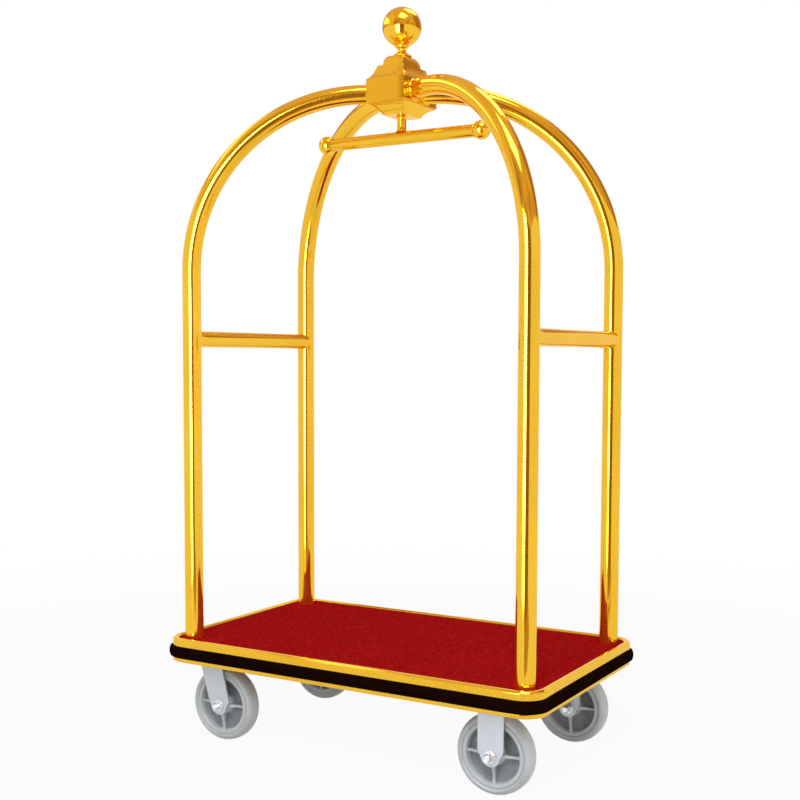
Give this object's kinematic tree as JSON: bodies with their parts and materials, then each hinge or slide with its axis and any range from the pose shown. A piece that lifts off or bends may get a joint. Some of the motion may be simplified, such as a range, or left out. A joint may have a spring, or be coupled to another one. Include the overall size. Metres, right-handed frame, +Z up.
{
  "type": "luggage cart",
  "caption": "Hotel luggage cart: carpeted deck with rubber bumper on large casters, bent polished corner tubes meeting in a crown with ball finial, and a garment hanging rail.",
  "frame": {"origin": "on the floor under the middle of the deck", "axes": "+Z up; +X along the deck towards the rigid casters, the swivel casters are at -X; +Y across the deck"},
  "size_m": [1.15, 0.688, 2.003],
  "materials": {
    "gold": "mirror polished titanium-gold plating on steel tube",
    "carpet": "short dense cut pile with fine dark flecks",
    "bumper": "extruded, smooth satin",
    "board": "plywood, unfinished",
    "channel": "black powder coat",
    "zinc": "bluish zinc plate, satin",
    "bright_zinc": "bright zinc plate",
    "tyre": "grey non-marking thermoplastic rubber, satin",
    "hub": "moulded grey polypropylene"
  },
  "bodies": {
    "root": {"deck_board": "board", "carpet": "carpet", "rim_rail": "gold", "bumper": "bumper", "cross_channel_left": "channel", "cross_channel_right": "channel", "post_front_left": "gold", "post_rear_left": "gold", "post_front_right": "gold", "post_rear_right": "gold", "post_bolt_front_left": "bright_zinc", "post_bolt_rear_left": "bright_zinc", "post_bolt_front_right": "bright_zinc", "post_bolt_rear_right": "bright_zinc", "push_bar_left": "gold", "push_bar_right": "gold", "crown_block": "gold", "crown_top_moulding": "gold", "crown_bottom_moulding": "gold", "finial_neck": "gold", "finial_ball": "gold", "tie_rod": "bright_zinc", "tie_rod_nut": "bright_zinc", "hanger_stem": "gold", "hanger_rail": "gold", "rail_ball_left": "gold", "rail_ball_right": "gold", "front_right_rigid_fork": "zinc", "front_right_axle_bushing": "bright_zinc", "front_right_axle_bolt": "bright_zinc", "front_right_axle_nut": "bright_zinc", "rear_right_rigid_fork": "zinc", "rear_right_axle_bushing": "bright_zinc", "rear_right_axle_bolt": "bright_zinc", "rear_right_axle_nut": "bright_zinc", "front_left_top_plate": "zinc", "front_left_ball_race": "bright_zinc", "front_left_kingpin": "bright_zinc", "rear_left_top_plate": "zinc", "rear_left_ball_race": "bright_zinc", "rear_left_kingpin": "bright_zinc"},
    "front_right_wheel": {"front_right_tyre": "tyre", "front_right_hub": "hub"},
    "rear_right_wheel": {"rear_right_tyre": "tyre", "rear_right_hub": "hub"},
    "front_left_swivel": {"front_left_swivel_fork": "zinc", "front_left_axle_bushing": "bright_zinc", "front_left_axle_bolt": "bright_zinc", "front_left_axle_nut": "bright_zinc"},
    "front_left_wheel": {"front_left_tyre": "tyre", "front_left_hub": "hub"},
    "rear_left_swivel": {"rear_left_swivel_fork": "zinc", "rear_left_axle_bushing": "bright_zinc", "rear_left_axle_bolt": "bright_zinc", "rear_left_axle_nut": "bright_zinc"},
    "rear_left_wheel": {"rear_left_tyre": "tyre", "rear_left_hub": "hub"}
  },
  "joints": [
    {"name": "front_right_wheel_roll", "type": "hinge", "parent": "root", "child": "front_right_wheel", "pos_m": [0.417, -0.24, 0.1016], "axis": [0, 1, 0], "continuous": true},
    {"name": "rear_right_wheel_roll", "type": "hinge", "parent": "root", "child": "rear_right_wheel", "pos_m": [0.417, 0.24, 0.1016], "axis": [0, 1, 0], "continuous": true},
    {"name": "front_left_swivel_turn", "type": "hinge", "parent": "root", "child": "front_left_swivel", "pos_m": [-0.465, -0.24, 0.2185], "axis": [0, 0, 1], "continuous": true},
    {"name": "front_left_wheel_roll", "type": "hinge", "parent": "front_left_swivel", "child": "front_left_wheel", "pos_m": [-0.42, -0.24, 0.1016], "axis": [0, 1, 0], "continuous": true},
    {"name": "rear_left_swivel_turn", "type": "hinge", "parent": "root", "child": "rear_left_swivel", "pos_m": [-0.465, 0.24, 0.2185], "axis": [0, 0, 1], "continuous": true},
    {"name": "rear_left_wheel_roll", "type": "hinge", "parent": "rear_left_swivel", "child": "rear_left_wheel", "pos_m": [-0.42, 0.24, 0.1016], "axis": [0, 1, 0], "continuous": true}
  ]
}
